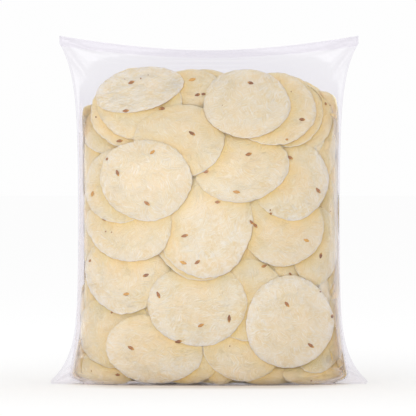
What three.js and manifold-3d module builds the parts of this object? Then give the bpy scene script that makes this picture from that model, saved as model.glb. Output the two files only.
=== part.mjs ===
// A clear pillow bag of small round papads, standing on its flattened base.
// The bag is one solid: its thin top seal, its two pinched lower corners and the heap inside it.
// The papads that show lie on the heap as thin bent rounds with a few seeds in each.
// X runs across the bag, Y from the front (-) to the back (+), Z up. Millimetres.
import * as THREE from 'three';
import { mergeVertices } from 'three/addons/utils/BufferGeometryUtils.js';
import Module from 'manifold-3d';

// The bag
const HEIGHT = 250; // base to the top edge, at the middle
const CORNER_LIFT = 11; // how much higher the top corners stand
const LIFT_POWER = 1.8;
const LIFT_START = 0.8; // share of the height where the lift begins
const BODY_HALF_WIDTH = 98;
const EAR_FLARE = 23.5; // how far each lower corner spreads past the body
const EAR_REACH = 18.5;
const EAR_ROUNDING = 3.5; // how much its tip is rounded off
const EAR_ROUNDING_REACH = 1.2;
const SEAL_FLARE = 14; // how far each top corner spreads past the body
const SEAL_REACH = 24.5;
const SEAL_SQUARE = 5.8; // the seal's ends are cut upright over this height
const HALF_DEPTH = 41;
const CORE_COLUMNS = 24;
const CORE_ROWS = 20;
const FILM_HALF = 0.8; // half the thickness of the seal and of the pinched corners

// The filled part of the bag
const FILL_HALF_WIDTH = 97;
const FILL_SPREAD = 9; // the fill is this much wider at the floor
const FILL_SPREAD_REACH = 30;
const BASE_TUCK = 11.5; // and this much narrower again right at the floor
const BASE_TUCK_REACH = 4;
const FILL_TOP = 238;
const FILL_SHOULDER_DROP = 38; // how much lower the heap is at its two sides,
const FILL_SHOULDER_LEAN = 10; // more so at the left
const FILL_SHOULDER_POWER = 6;
const BASE_NARROWING = 8;
const BASE_NARROWING_REACH = 20;
const BASE_ROUNDING = 3;
const BASE_ROUNDING_REACH = 2.5;
const CLOSING_START = 140; // height where front and back begin to lean together
const CLOSED_AT = 250; // height where they meet, at the middle
const CLOSED_DROP = 8; // how much lower they meet at the sides
const CLOSED_DROP_POWER = 3;
const CLOSING_POWER = 2.9;
const CLOSING_EASE = 1.5;
const SECTION_POWER = 2.6; // the level section is a rounded oblong,
const SECTION_ROOT = 0.455;
const SECTION_EASE = 0.9; // which turns into a pointed one towards the seal
const SECTION_EASE_POWER = 3;

// The papads
const PAPAD_RADIUS = 33;
const PAPAD_THICKNESS = 1.6;
const PAPAD_OVERLAP = 0.4; // how far a papad sinks into the one in front of it
const PAPAD_SIDES = 14;
const FOOT_SHARE = 0.7; // each papad has a hidden foot this much narrower,
const FOOT_DEPTH = 13; // which reaches down into the heap
const FILM_GAP = 0.3;
const LEAST_ROOM = 1; // a papad bends only to the places where the bag is this deep
const BENDING = [0, 0.02, 0.02, 0.3, 0.3, 0.3]; // stiffness of a papad, term by term
const FIT_PASSES = 12;
const FIT_HOLD = 30; // weight of the places where the papads in front press on it
const SAME_POINT = 1e-4; // corners closer than this are one corner
const SLIVER = 0.05; // edges shorter than this are closed up after joining
const LOWEST_EDGE = 0.3; // no papad's edge lies lower than this
const SIDE_MARGIN = 1; // how far the papads stay inside the filled width
const CELL = 3; // step of the grid on which the papads are laid
const CELL_REACH = 123;
const HOLLOW_DEPTH = 9; // how deep the heap lies where no papad shows
const HOLLOW_START = 14; // no hollows below this height, so that the base stays broad
const HOLLOW_SHARE = 1 / 3; // no hollow is deeper than this share of half the bag's depth
const SEED_HALF_LENGTH = 2.7;
const SEED_HALF_WIDTH = 0.9;
const SEED_SIDES = 5;
const SEED_RINGS = 4;
const SEED_REACH = [0.3, 0.75]; // least and greatest share of the papad's radius
const SEEDED_HALF_WIDTH = 25; // smaller papads have no seeds
const SEEDED_HALF_HEIGHT = 20;
const FRONT_SEEDS_EACH = 1.4;
const BACK_SEEDS_EACH = 0.5;

// The papads at the back and round the two sides
const BACK_PAPADS = 38;
const BACK_SPACING = 21;
const BACK_TRIES = 4000;
const BACK_EASING = 9000; // the spacing shrinks to nothing over this many tries
const BACK_REACH = 72;
const BACK_LOWEST = 30;
const BACK_TOP_GAP = 38;
const BACK_WIDTH = [0.88, 1.04]; // least and greatest share of the papads' radius
const BACK_HEIGHT = [0.84, 0.98]; // of a papad's half width
const BACK_TURN = 60; // degrees
const SIDE_PAPADS = 6;
const SIDE_LOWEST = 34;
const SIDE_TOP_GAP = 56;
const SIDE_SCATTER = 10; // forwards or backwards
const SIDE_RISE = 8;
const SIDE_HALF_HEIGHT = [18, 26];
const SIDE_HALF_DEPTH = 17;
const SIDE_BEND_DEPTH = 44; // the side papads follow a curve of this half depth
const SIDE_BEND_POWER = 2.2;
const SIDE_BEND_ROOT = 0.385;
const SIDE_INSET = 2;

// The papads that show at the front, from the nearest to the deepest:
// middle across, middle up, half width, half height, turn in degrees.
const FRONT_PAPADS = [
  [28, 210, 33, 26, 0], [60, 47, 33, 35, 0], [-47, 153, 34, 30, 0], [-52, 220, 34, 16, 11],
  [-22, 182, 34, 27, 0], [48, 206, 32, 28, 0], [81, 39, 22, 31, 0],
  [24, 163, 35, 27, 8], [-52, 210, 32, 28, 0], [56, 204, 30, 27, 0], [-13, 221, 23, 15, 0],
  [61, 152, 29, 29, 0], [65, 200, 28, 28, 0], [-58, 204, 31, 28, 0], [-66, 149, 27, 28, 0],
  [-59, 120, 32, 28, 0], [-2, 120, 36, 40, 0], [-5, 112, 35, 33, 0], [55, 117, 31, 28, 0],
  [-9, 60, 37, 31, 0], [-61, 85, 32, 31, 0], [-41, 27, 36, 26, -6], [-3, 225, 20, 11, 0],
  [-74, 192, 23, 21, 0], [85, 183, 11, 30, 0], [79, 104, 18, 31, 0], [29, 63, 31, 31, 0],
  [80, 9.5, 25, 9.5, 4], [-70, 40, 28, 28, 0], [26, 30, 32, 26, 0], [72, 87, 24, 27, 0],
  [-79, 12, 25.5, 12, -8], [-85, 69, 9, 22, 0], [88, 127, 10, 28, 0], [-17, 17, 24, 16, 0],
  [-85, 168, 10, 25, 0], [46, 8.5, 25, 8.5, 2],
];

const FRONT = -1;
const BACK = 1;

// Starts of the streams of drawn numbers
const FRONT_DRAW = 7;
const BACK_DRAW = 13;
const BACK_PLACES_DRAW = 11;
const SIDES_DRAW = 5;

const wasm = await Module();
wasm.setup();

/** A seeded stream of numbers from 0 to 1. */
function drawer(seed) {
  let state = seed;
  return () => {
    state = (state + 0x6d2b79f5) | 0;
    let mixed = Math.imul(state ^ (state >>> 15), 1 | state);
    mixed = (mixed + Math.imul(mixed ^ (mixed >>> 7), 61 | mixed)) ^ mixed;
    return ((mixed ^ (mixed >>> 14)) >>> 0) / 4294967296;
  };
}

/** A draw between the two ends of a range. */
function between([least, greatest], draw) {
  return least + (greatest - least) * draw();
}

/** Half the width of the bag from edge to edge, pinched corners and seal included. */
function edgeHalfWidth(z) {
  const ear = EAR_FLARE * Math.exp(-z / EAR_REACH);
  const rounding = EAR_ROUNDING * Math.exp(-((z / EAR_ROUNDING_REACH) ** 2));
  const square = HEIGHT + CORNER_LIFT - SEAL_SQUARE;
  const seal = SEAL_FLARE * Math.exp((Math.min(z, square) - square) / SEAL_REACH);
  return BODY_HALF_WIDTH + ear - rounding + seal;
}

/** Half the width of the filled part at a height. */
function fillHalfWidth(z) {
  const spread = FILL_SPREAD * Math.exp(-z / FILL_SPREAD_REACH);
  return FILL_HALF_WIDTH + spread - BASE_TUCK * Math.exp(-((z / BASE_TUCK_REACH) ** 2));
}

/** The height of the heap's top outline. */
function fillTop(x) {
  const drop = FILL_SHOULDER_DROP - FILL_SHOULDER_LEAN * Math.sign(x);
  return FILL_TOP - drop * Math.abs(x / BODY_HALF_WIDTH) ** FILL_SHOULDER_POWER;
}

/** Half the depth of the bag at a place on its front. */
function filmHalfDepth(x, z) {
  const narrowing = BASE_NARROWING * Math.exp(-z / BASE_NARROWING_REACH);
  const rounding = BASE_ROUNDING * Math.exp(-z / BASE_ROUNDING_REACH);
  const closed = CLOSED_AT - CLOSED_DROP * Math.abs(x / BODY_HALF_WIDTH) ** CLOSED_DROP_POWER;
  const up = THREE.MathUtils.clamp((z - CLOSING_START) / (closed - CLOSING_START), 0, 1);
  const across = Math.min(Math.abs(x) / fillHalfWidth(z), 1);
  const root = SECTION_ROOT + SECTION_EASE * up ** SECTION_EASE_POWER;
  const section = (1 - across ** SECTION_POWER) ** root;
  const closing = (1 - up ** CLOSING_POWER) ** CLOSING_EASE;
  return Math.max(FILM_HALF, (HALF_DEPTH - narrowing - rounding) * section * closing);
}

/** Solves a small set of linear equations. */
function solve(rows, values) {
  const size = values.length;
  const table = rows.map((row, index) => [...row, values[index]]);
  for (let column = 0; column < size; column += 1) {
    let best = column;
    for (let row = column + 1; row < size; row += 1) {
      if (Math.abs(table[row][column]) > Math.abs(table[best][column])) best = row;
    }
    [table[column], table[best]] = [table[best], table[column]];
    for (let row = 0; row < size; row += 1) {
      if (row === column) continue;
      const share = table[row][column] / table[column][column];
      for (let k = column; k <= size; k += 1) table[row][k] -= share * table[column][k];
    }
  }
  return table.map((row, index) => row[size] / row[index]);
}

/** One face of the heap: how deep it is taken up by papads, behind the film. */
class HeapFace {
  constructor() {
    this.columns = Math.round((2 * CELL_REACH) / CELL) + 1;
    this.rows = Math.round(HEIGHT / CELL) + 1;
    this.taken = new Float64Array(this.columns * this.rows);
    this.eachCell((index, x, z) => {
      this.taken[index] = FILM_GAP - filmHalfDepth(x, z);
    });
  }

  eachCell(visit) {
    for (let column = 0; column < this.columns; column += 1) {
      for (let row = 0; row < this.rows; row += 1) {
        visit(column * this.rows + row, column * CELL - CELL_REACH, row * CELL);
      }
    }
  }

  /** Fits a gently bent sheet behind all that is in front of it. Returns its surface. */
  lay([middleX, middleZ, halfWidth, halfHeight, turn]) {
    const angle = THREE.MathUtils.degToRad(turn);
    const cells = [];
    this.eachCell((index, x, z) => {
      const dx = x - middleX;
      const dz = z - middleZ;
      const u = (dx * Math.cos(angle) + dz * Math.sin(angle)) / halfWidth;
      const v = (dz * Math.cos(angle) - dx * Math.sin(angle)) / halfHeight;
      if (u * u + v * v > 1 || filmHalfDepth(x, z) < LEAST_ROOM) return;
      cells.push({ index, terms: HeapFace.terms(dx, dz), weight: 1 });
    });
    let surface = [];
    const height = (terms) => terms.reduce((sum, term, k) => sum + term * surface[k], 0);
    const stiffness = BENDING.map((value) => value * cells.length);
    for (let pass = 0; pass < FIT_PASSES; pass += 1) {
      const rows = stiffness.map((value, i) => stiffness.map((_, j) => (i === j ? value : 0)));
      const values = stiffness.map(() => 0);
      for (const { index, terms, weight } of cells) {
        terms.forEach((term, i) => {
          values[i] += weight * term * this.taken[index];
          terms.forEach((other, j) => {
            rows[i][j] += weight * term * other;
          });
        });
      }
      surface = solve(rows, values);
      for (const cell of cells) {
        cell.weight = height(cell.terms) < this.taken[cell.index] ? FIT_HOLD : 1;
      }
    }
    let push = -Infinity;
    for (const { index, terms } of cells) push = Math.max(push, this.taken[index] - height(terms));
    surface[0] += push;
    for (const { index, terms } of cells) {
      this.taken[index] = height(terms) + PAPAD_THICKNESS - PAPAD_OVERLAP;
    }
    return (x, z) => height(HeapFace.terms(x - middleX, z - middleZ));
  }

  static terms(dx, dz) {
    const x = dx / PAPAD_RADIUS;
    const z = dz / PAPAD_RADIUS;
    return [1, x, z, x * x, x * z, z * z];
  }
}

/** Half the depth of the bag with the heap behind the papads in it. */
function coreHalfDepth(x, z) {
  const film = filmHalfDepth(x, z);
  const inset = z < fillTop(x) ? Math.min(HOLLOW_DEPTH, film * HOLLOW_SHARE) : 0;
  return Math.max(FILM_HALF, film - inset * Math.min(z / HOLLOW_START, 1));
}

/** Turns a closed geometry into a solid. */
function toSolid(geometry) {
  geometry.deleteAttribute('normal');
  geometry.deleteAttribute('uv');
  const merged = mergeVertices(geometry, SAME_POINT);
  return new wasm.Manifold(new wasm.Mesh({
    numProp: 3,
    vertProperties: Float32Array.from(merged.attributes.position.array),
    triVerts: Uint32Array.from(merged.index.array),
  }));
}

/** Moves each point of a geometry by a rule. */
function reshape(geometry, rule) {
  const points = geometry.attributes.position;
  const point = new THREE.Vector3();
  for (let index = 0; index < points.count; index += 1) {
    point.fromBufferAttribute(points, index);
    rule(point);
    points.setXYZ(index, point.x, point.y, point.z);
  }
  return geometry;
}

/** A thin bent papad on the front or the back of the heap. */
function papadOn(side, place, surface) {
  const [middleX, middleZ, halfWidth, halfHeight, turn] = place;
  const angle = THREE.MathUtils.degToRad(turn);
  const round = new THREE.CylinderGeometry(1, 1, 2, PAPAD_SIDES, 2);
  return reshape(round, (point) => {
    const layer = Math.round(1 - side * point.y); // 0 outer face, 1 inner face, 2 foot
    const share = [1, 1, FOOT_SHARE][layer];
    const behind = [0, PAPAD_THICKNESS, FOOT_DEPTH][layer];
    const u = point.x * halfWidth * share;
    const v = point.z * halfHeight * share;
    const z = Math.max(middleZ + u * Math.sin(angle) + v * Math.cos(angle), LOWEST_EDGE);
    const limit = fillHalfWidth(z) - SIDE_MARGIN;
    const across = middleX + u * Math.cos(angle) - v * Math.sin(angle);
    const x = THREE.MathUtils.clamp(across, -limit, limit);
    point.set(x, -side * Math.min(surface(x, z) + behind, -FILM_HALF / 2), z);
  });
}

/** A papad bent round the left (-1) or right (1) side of the heap. */
function papadRoundSide(side, middleY, middleZ, halfHeight) {
  const round = new THREE.CylinderGeometry(1, 1, 2, PAPAD_SIDES, 1);
  return reshape(round.rotateZ(-Math.PI / 2), (point) => {
    const y = middleY + point.y * SIDE_HALF_DEPTH;
    const z = middleZ + point.z * halfHeight;
    const section = 1 - (Math.abs(y) / SIDE_BEND_DEPTH) ** SIDE_BEND_POWER;
    const inset = SIDE_INSET + (Math.sign(point.x) === side ? 0 : PAPAD_THICKNESS * 2);
    point.set(side * (fillHalfWidth(z) * section ** SIDE_BEND_ROOT - inset), y, z);
  });
}

/** A seed in the face of a papad. */
function seedOn(side, x, z, surface, angle) {
  const grain = new THREE.SphereGeometry(1, SEED_SIDES, SEED_RINGS);
  grain.scale(SEED_HALF_LENGTH, SEED_HALF_WIDTH, SEED_HALF_WIDTH);
  grain.rotateY(angle);
  grain.translate(x, -side * surface(x, z), z);
  return grain;
}

/** The bag's outline and the heap behind the papads, as one closed body. */
function bagCore() {
  const block = new THREE.BoxGeometry(2, 2, 2, CORE_COLUMNS, 1, CORE_ROWS);
  return reshape(block, (point) => {
    const u = Math.sin((point.x * Math.PI) / 2);
    const level = HEIGHT * (0.5 + 0.5 * Math.sin((point.z * Math.PI) / 2));
    const rise = Math.max(level / HEIGHT - LIFT_START, 0) / (1 - LIFT_START);
    const lift = CORNER_LIFT * rise ** 2;
    const z = level + lift * Math.abs(u) ** LIFT_POWER;
    const x = u * edgeHalfWidth(level + lift);
    point.set(x, point.y * coreHalfDepth(x, z), z);
  });
}

/** Places for the papads on the back, spread evenly by a seeded draw. */
function backPlaces() {
  const draw = drawer(BACK_PLACES_DRAW);
  const places = [];
  for (let tries = 0; places.length < BACK_PAPADS && tries < BACK_TRIES; tries += 1) {
    const x = between([-BACK_REACH, BACK_REACH], draw);
    const z = between([BACK_LOWEST, fillTop(x) - BACK_TOP_GAP], draw);
    const spacing = BACK_SPACING * (1 - tries / BACK_EASING);
    if (places.some((place) => Math.hypot(place[0] - x, place[1] - z) < spacing)) continue;
    const halfWidth = PAPAD_RADIUS * between(BACK_WIDTH, draw);
    const halfHeight = Math.min(halfWidth * between(BACK_HEIGHT, draw), z - LOWEST_EDGE);
    places.push([x, z, halfWidth, halfHeight, draw() * BACK_TURN]);
  }
  return places;
}

/** The papads of one face, with their seeds. */
function papadsOf(side, places, seedsOnEach, seed) {
  const draw = drawer(seed);
  const face = new HeapFace();
  const pieces = [];
  for (const place of places) {
    const surface = face.lay(place);
    pieces.push(papadOn(side, place, surface));
    const [middleX, middleZ, halfWidth, halfHeight] = place;
    const seeded = halfWidth > SEEDED_HALF_WIDTH && halfHeight > SEEDED_HALF_HEIGHT;
    const seeds = seeded ? Math.floor(seedsOnEach + draw()) : 0;
    for (let count = 0; count < seeds; count += 1) {
      const angle = draw() * 2 * Math.PI;
      const reach = between(SEED_REACH, draw);
      const x = middleX + reach * halfWidth * Math.cos(angle);
      const z = middleZ + reach * halfHeight * Math.sin(angle);
      pieces.push(seedOn(side, x, z, surface, draw() * Math.PI));
    }
  }
  return pieces;
}

/** The papads bent round both sides of the heap. */
function sidePapads() {
  const draw = drawer(SIDES_DRAW);
  const pieces = [];
  const step = (FILL_TOP - SIDE_TOP_GAP - SIDE_LOWEST) / (SIDE_PAPADS - 1);
  for (const side of [-1, 1]) {
    for (let count = 0; count < SIDE_PAPADS; count += 1) {
      const z = SIDE_LOWEST + count * step + SIDE_RISE * draw();
      const y = between([-SIDE_SCATTER, SIDE_SCATTER], draw);
      pieces.push(papadRoundSide(side, y, z, between(SIDE_HALF_HEIGHT, draw)));
    }
  }
  return pieces;
}

/** The whole bag as one closed body. Pockets that the joining shuts are filled. */
function filledBag() {
  const pieces = [
    ...papadsOf(FRONT, FRONT_PAPADS, FRONT_SEEDS_EACH, FRONT_DRAW),
    ...papadsOf(BACK, backPlaces(), BACK_SEEDS_EACH, BACK_DRAW),
    ...sidePapads(),
  ];
  let joined = toSolid(bagCore());
  for (const piece of pieces) joined = joined.add(toSolid(piece));
  const largest = (one, other) => (one.volume() > other.volume() ? one : other);
  const mesh = joined.decompose().reduce(largest).simplify(SLIVER).getMesh();
  const geometry = new THREE.BufferGeometry();
  geometry.setAttribute('position', new THREE.BufferAttribute(mesh.vertProperties, 3));
  geometry.setIndex(new THREE.BufferAttribute(mesh.triVerts, 1));
  geometry.computeVertexNormals();
  return geometry;
}

const PAPAD_FINISH = new THREE.MeshStandardMaterial({
  color: '#e6d2ae', roughness: 0.45, metalness: 0,
});

const bag = new THREE.Mesh(filledBag(), PAPAD_FINISH);
bag.name = 'filled_bag';

const group = new THREE.Group();
group.add(bag);

export default group;
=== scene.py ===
"""A clear pillow bag filled with small round raw papads, standing on a pale floor.

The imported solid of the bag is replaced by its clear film, its top seal, the papads inside it and
the cumin seeds in the papads. Shapes are worked out in millimetres and written in metres.
"""

import logging
import math
from dataclasses import dataclass, field, replace
from enum import Enum
from typing import Iterable

import bmesh
import bpy
import numpy as np
from mathutils import Matrix, Vector


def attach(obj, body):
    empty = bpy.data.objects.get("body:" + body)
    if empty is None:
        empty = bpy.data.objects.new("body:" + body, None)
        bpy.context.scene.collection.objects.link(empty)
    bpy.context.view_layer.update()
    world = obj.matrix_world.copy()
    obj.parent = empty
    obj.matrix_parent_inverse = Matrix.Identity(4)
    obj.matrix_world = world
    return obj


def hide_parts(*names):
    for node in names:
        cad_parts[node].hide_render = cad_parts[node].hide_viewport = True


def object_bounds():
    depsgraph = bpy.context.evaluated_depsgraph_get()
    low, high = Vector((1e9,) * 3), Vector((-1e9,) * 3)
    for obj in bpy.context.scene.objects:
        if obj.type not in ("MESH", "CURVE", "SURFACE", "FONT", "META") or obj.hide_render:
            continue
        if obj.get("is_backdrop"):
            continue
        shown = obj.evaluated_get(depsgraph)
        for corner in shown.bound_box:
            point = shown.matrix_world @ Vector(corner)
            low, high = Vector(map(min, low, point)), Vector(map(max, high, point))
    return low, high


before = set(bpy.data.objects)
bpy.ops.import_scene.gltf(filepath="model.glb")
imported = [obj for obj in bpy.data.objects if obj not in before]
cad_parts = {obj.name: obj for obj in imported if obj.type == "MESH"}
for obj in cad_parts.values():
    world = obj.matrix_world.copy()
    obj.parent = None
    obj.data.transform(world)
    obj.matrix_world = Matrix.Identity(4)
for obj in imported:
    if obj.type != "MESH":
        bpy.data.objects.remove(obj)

MM = 0.001
NODE = "filled_bag"
BODY = "root"
LOG = logging.getLogger("papad_bag")

Array = np.ndarray
Colour = tuple[float, ...]


class Side(Enum):
    """The two broad faces of the bag."""

    FRONT = -1
    BACK = 1


@dataclass(frozen=True)
class BagShape:
    """The outline and the depth of the filled bag, in millimetres."""

    height: float = 250.0
    corner_lift: float = 11.0
    lift_power: float = 1.8
    lift_start: float = 0.8
    body_half_width: float = 98.0
    ear_flare: float = 23.5
    ear_reach: float = 18.5
    ear_rounding: float = 3.5
    ear_rounding_reach: float = 1.2
    seal_flare: float = 14.0
    seal_reach: float = 24.5
    seal_square: float = 5.8
    half_depth: float = 41.0
    fill_half_width: float = 97.0
    fill_spread: float = 9.0
    fill_spread_reach: float = 30.0
    base_tuck: float = 11.5
    base_tuck_reach: float = 4.0
    fill_top: float = 238.0
    fill_shoulder_drop: float = 38.0
    fill_shoulder_lean: float = 10.0
    base_narrowing: float = 8.0
    base_narrowing_reach: float = 20.0
    base_rounding: float = 3.0
    base_rounding_reach: float = 2.5
    closing_start: float = 140.0
    closed_at: float = 250.0
    closed_drop: float = 8.0
    closing_power: float = 2.9
    closing_ease: float = 1.5
    section_power: float = 2.6
    section_root: float = 0.455
    section_ease: float = 0.9

    def edge_half_width(self, z: Array) -> Array:
        """Half the width from edge to edge at a height.

        Args:
            z: Heights on the side edge.

        Returns:
            The half widths.
        """
        ear = self.ear_flare * np.exp(-z / self.ear_reach)
        rounding = self.ear_rounding * np.exp(-((z / self.ear_rounding_reach) ** 2))
        square = self.height + self.corner_lift - self.seal_square
        seal = self.seal_flare * np.exp((np.minimum(z, square) - square) / self.seal_reach)
        return self.body_half_width + ear - rounding + seal

    def lifted(self, u: Array, level: Array) -> tuple[Array, Array]:
        """Turns a level into a place on the bag's outline, which rises to its top corners.

        Args:
            u: Shares of the half width, from -1 to 1.
            level: Heights at the middle of the bag.

        Returns:
            Places across the bag, and heights.
        """
        rise = np.maximum(level / self.height - self.lift_start, 0.0) / (1.0 - self.lift_start)
        lift = self.corner_lift * rise**2
        return u * self.edge_half_width(level + lift), level + lift * np.abs(u) ** self.lift_power

    def fill_width(self, z: Array) -> Array:
        """Half the width of the filled part at a height.

        Args:
            z: Heights.

        Returns:
            The half widths.
        """
        spread = self.fill_spread * np.exp(-z / self.fill_spread_reach)
        tuck = self.base_tuck * np.exp(-((z / self.base_tuck_reach) ** 2))
        return self.fill_half_width + spread - tuck

    def heap_top(self, x: Array) -> Array:
        """The height of the heap's top outline at places across the bag."""
        drop = self.fill_shoulder_drop - self.fill_shoulder_lean * np.sign(x)
        return self.fill_top - drop * np.abs(x / self.body_half_width) ** 6

    def section(self, x: Array, z: Array) -> Array:
        """The share of the full depth that the bag has at a place across it.

        Args:
            x: Places across the bag.
            z: Heights.

        Returns:
            The shares, 1 in the middle and 0 at the edge of the fill.
        """
        across = np.minimum(np.abs(x) / self.fill_width(z), 1.0)
        root = self.section_root + self.section_ease * self.closing_share(x, z) ** 3
        return (1.0 - across**self.section_power) ** root

    def closing_share(self, x: Array, z: Array) -> Array:
        """How far up a place is between the full depth and the seal, from 0 to 1."""
        closed = self.closed_at - self.closed_drop * np.abs(x / self.body_half_width) ** 3
        return np.clip((z - self.closing_start) / (closed - self.closing_start), 0.0, 1.0)

    def depth(self, x: Array, z: Array) -> Array:
        """Half the depth of the bag at a place on its face.

        Args:
            x: Places across the bag.
            z: Heights.

        Returns:
            The half depths, 0 where the film lies flat on itself.
        """
        up = np.maximum(z, 0.0)
        narrowing = self.base_narrowing * np.exp(-up / self.base_narrowing_reach)
        rounding = self.base_rounding * np.exp(-up / self.base_rounding_reach)
        closing = (1.0 - self.closing_share(x, z) ** self.closing_power) ** self.closing_ease
        return (self.half_depth - narrowing - rounding) * self.section(x, up) * closing


@dataclass(frozen=True)
class PapadPlace:
    """Where a papad lies on a face of the heap, as seen square to that face, in millimetres."""

    x: float
    z: float
    half_width: float
    half_height: float
    turn: float = 0.0
    fold: tuple[float, float, float] = (0.0, 0.0, 0.0)

    def local(self, x: Array, z: Array) -> tuple[Array, Array]:
        """Turns places on the face into the papad's own unit round.

        Args:
            x: Places across the bag.
            z: Heights.

        Returns:
            The two coordinates, whose root sum of squares is 1 at the rim.
        """
        angle = math.radians(self.turn)
        dx, dz = x - self.x, z - self.z
        u = (dx * math.cos(angle) + dz * math.sin(angle)) / self.half_width
        v = (dz * math.cos(angle) - dx * math.sin(angle)) / self.half_height
        return u, v

    def spread(self, u: Array, v: Array) -> tuple[Array, Array]:
        """Turns places in the unit round into places on the face.

        Args:
            u: First coordinate in the unit round.
            v: Second coordinate.

        Returns:
            Places across the bag, and heights.
        """
        angle = math.radians(self.turn)
        across, along = u * self.half_width, v * self.half_height
        x = self.x + across * math.cos(angle) - along * math.sin(angle)
        z = self.z + across * math.sin(angle) + along * math.cos(angle)
        return x, z


# The papads that show at the front, from the nearest to the deepest: place, half sizes, turn and fold.
FRONT_PLACES = tuple(PapadPlace(*row) for row in (
    (28, 210, 33, 26), (60, 47, 33.5, 34.5), (-47, 153, 34.5, 30.5),
    (-52.5, 220.5, 34, 16.5, 11, (-10, 0.5, 3.0)), (-22, 182, 34.5, 27), (48, 206, 32, 28),
    (81, 39, 22, 31), (24, 163, 35.5, 27, 8), (-52, 210, 32, 28), (56, 204, 30, 27), (-13, 221, 23, 15),
    (61, 152, 29, 29, 0, (53, -0.2, 1.6)), (65, 200, 28, 28), (-58, 204, 31, 28), (-66, 149, 27, 28.5),
    (-59, 120, 32, 28.5), (-2.5, 120, 36, 40), (-5.5, 112, 35, 33.5), (55, 117, 31, 28.5),
    (-8.5, 60.5, 37.5, 31), (-61, 85, 32, 31.5), (-41, 27, 36, 26.3, -6), (-3, 225, 20, 11),
    (-74, 192, 23, 21), (85, 183, 11, 30), (79, 104, 18, 31), (29, 63, 31, 31), (80, 9.5, 25, 9.5, 4),
    (-70, 40, 28, 28), (26, 30, 32, 26), (72, 87, 24, 27), (-79, 12, 25.5, 12, -8), (-85, 69, 9, 22),
    (88, 127, 10, 28), (-17, 17, 24, 16), (-85, 168, 10, 25), (46, 8.5, 25, 8.5, 2),
))

# Lobes and sizes of the unevenness of a papad's rim, as shares of its radius.
RIM_WAVES = ((2, 0.018), (3, 0.016), (5, 0.011), (8, 0.006), (14, 0.005), (22, 0.005), (34, 0.004))
# Radius and layer, from the outer face to the inner one.
RIM_PROFILE = ((0.986, 0.03), (1.0, 0.25), (0.99, 0.55), (0.975, 0.8))
SEED_RIBS = 6
SEED_RELIEF = 0.1
SEED_TAPER = 0.35
# Pattern units for each millimetre, and the angle in radians past which an edge is sharp.
PATTERN_SCALE = 0.1
FOLD_ANGLE = 1.2


@dataclass(frozen=True)
class Ripple:
    """The unevenness of one papad: waves that grow towards its rim, and at most one fold."""

    waves: tuple[tuple[float, float, float], ...]
    fold_angle: float = 0.0
    fold_at: float = 0.0
    fold_height: float = 0.0
    fold_softness: float = 0.06

    @classmethod
    def drawn(cls, draw: np.random.Generator, height: float, fold: tuple[float, float, float]) -> "Ripple":
        """Draws the waves of a papad.

        Args:
            draw: The seeded stream of numbers.
            height: The height of the widest wave, in millimetres.
            fold: The fold's angle in degrees, its place and its height.

        Returns:
            The unevenness.
        """
        waves = tuple(
            (lobes, height / lobes**0.8 * draw.uniform(0.4, 1.0), draw.uniform(0, 2 * math.pi))
            for lobes in (2, 3, 5, 8)
        )
        return cls(waves, math.radians(fold[0]), fold[1], fold[2])

    def __call__(self, u: Array, v: Array) -> Array:
        """The height of the unevenness.

        Args:
            u: First coordinate in the unit round.
            v: Second coordinate.

        Returns:
            Heights in millimetres, inwards as positive.
        """
        radius = np.minimum(np.hypot(u, v), 1.1)
        angle = np.arctan2(v, u)
        total = np.zeros_like(radius)
        for lobes, height, phase in self.waves:
            total = total + height * radius**lobes**0.7 * np.sin(lobes * angle + phase)
        across = u * math.cos(self.fold_angle) + v * math.sin(self.fold_angle) - self.fold_at
        soft = self.fold_softness
        crease = np.sqrt(across**2 + soft**2) - soft
        return total + self.fold_height * crease


@dataclass(frozen=True)
class Sheet:
    """The outer surface of a papad that lies on a face of the heap."""

    place: PapadPlace
    factors: Array
    ripple: Ripple
    stretch: float

    @staticmethod
    def terms(x: Array, z: Array) -> Array:
        """The terms of a gently bent sheet, one column each, at offsets in units of its stretch."""
        return np.stack([np.ones_like(x), x, z, x * x, x * z, z * z], axis=-1)

    def depth(self, x: Array, z: Array) -> Array:
        """How far the surface lies from the bag's middle plane, with the film's side negative.

        Args:
            x: Places across the bag.
            z: Heights.

        Returns:
            The depths.
        """
        u, v = self.place.local(x, z)
        terms = self.terms((x - self.place.x) / self.stretch, (z - self.place.z) / self.stretch)
        return terms @ self.factors + self.ripple(u, v)


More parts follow.
